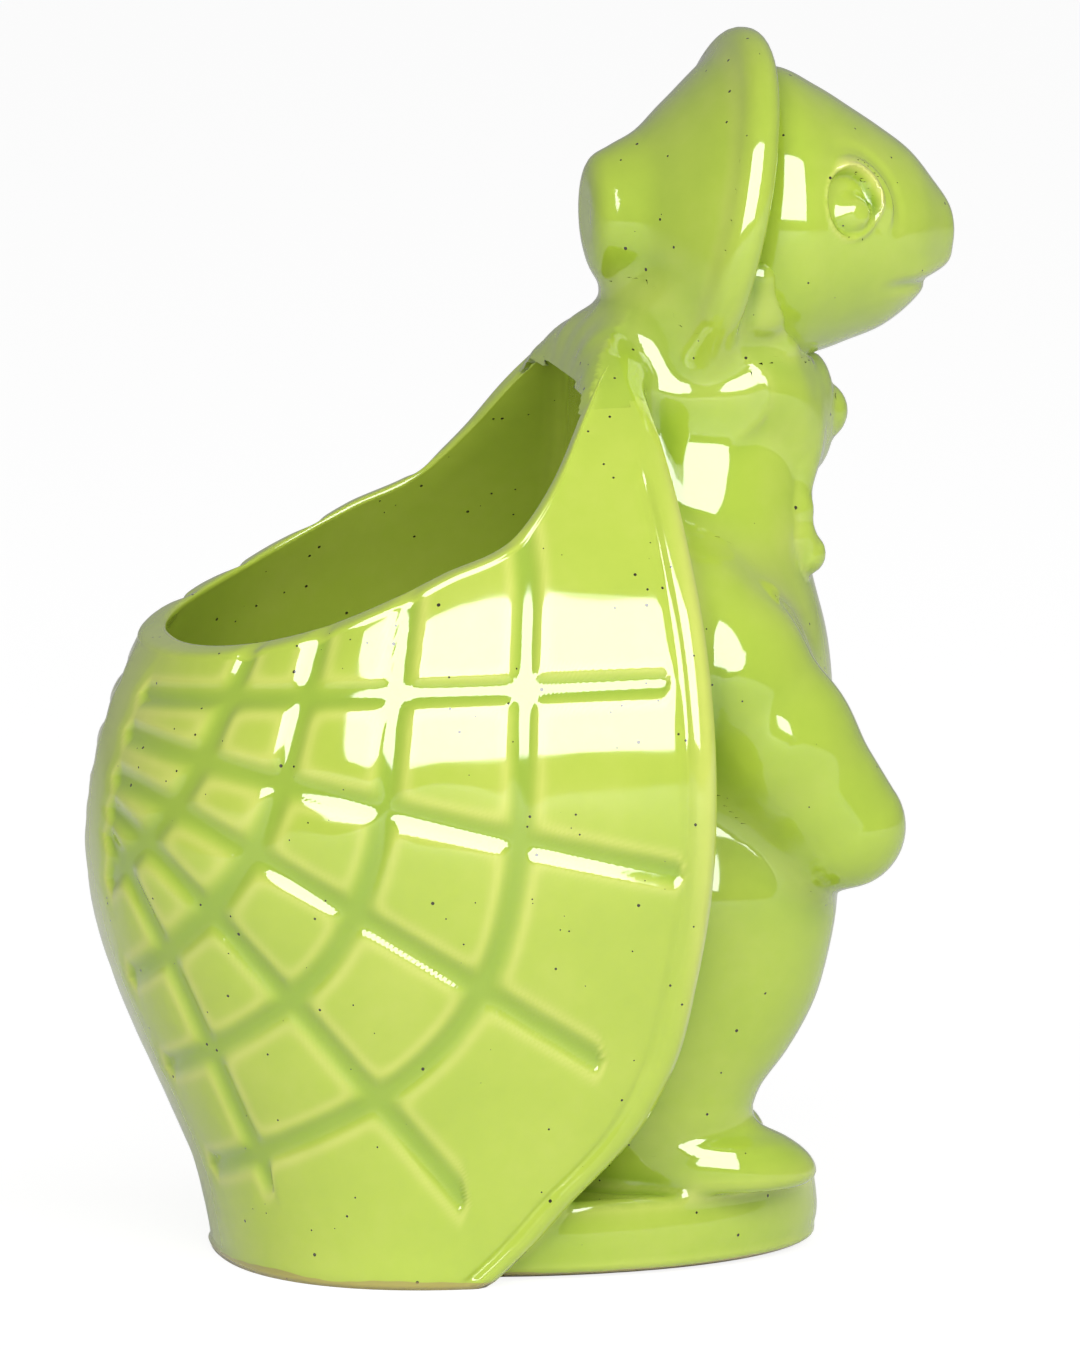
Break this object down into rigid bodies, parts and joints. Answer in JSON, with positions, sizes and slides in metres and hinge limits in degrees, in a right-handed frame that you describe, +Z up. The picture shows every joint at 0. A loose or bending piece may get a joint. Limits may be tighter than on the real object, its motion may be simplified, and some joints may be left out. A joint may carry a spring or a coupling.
{
  "type": "animal shaped planter",
  "caption": "Glazed ceramic planter shaped as an upright turtle in a bonnet, its grooved shell an open pot behind the figure.",
  "frame": {"origin": "on the resting plane, under the middle of the whole outline", "axes": "+Z up, -Y the way the figure faces, -X its right side"},
  "size_m": [0.1002, 0.126, 0.1745],
  "materials": {
    "lime_glaze": "glossy lime-green glaze, paler on edges and deeper in grooves"
  },
  "bodies": {
    "root": {"shell_pot": "lime_glaze", "base_plinth": "lime_glaze", "torso": "lime_glaze", "neck": "lime_glaze", "head": "lime_glaze", "bonnet_crown": "lime_glaze", "bonnet_brim": "lime_glaze", "bow_knot": "lime_glaze", "bonnet_ribbon_right": "lime_glaze", "bonnet_ribbon_left": "lime_glaze", "bow_loop_right": "lime_glaze", "bow_loop_left": "lime_glaze", "ribbon_tail_right": "lime_glaze", "ribbon_tail_left": "lime_glaze", "eye_right": "lime_glaze", "eye_left": "lime_glaze", "eyelid_right": "lime_glaze", "eyelid_left": "lime_glaze", "arm_right": "lime_glaze", "arm_left": "lime_glaze", "leg_right": "lime_glaze", "leg_left": "lime_glaze", "foot_right": "lime_glaze", "foot_left": "lime_glaze"}
  },
  "joints": []
}
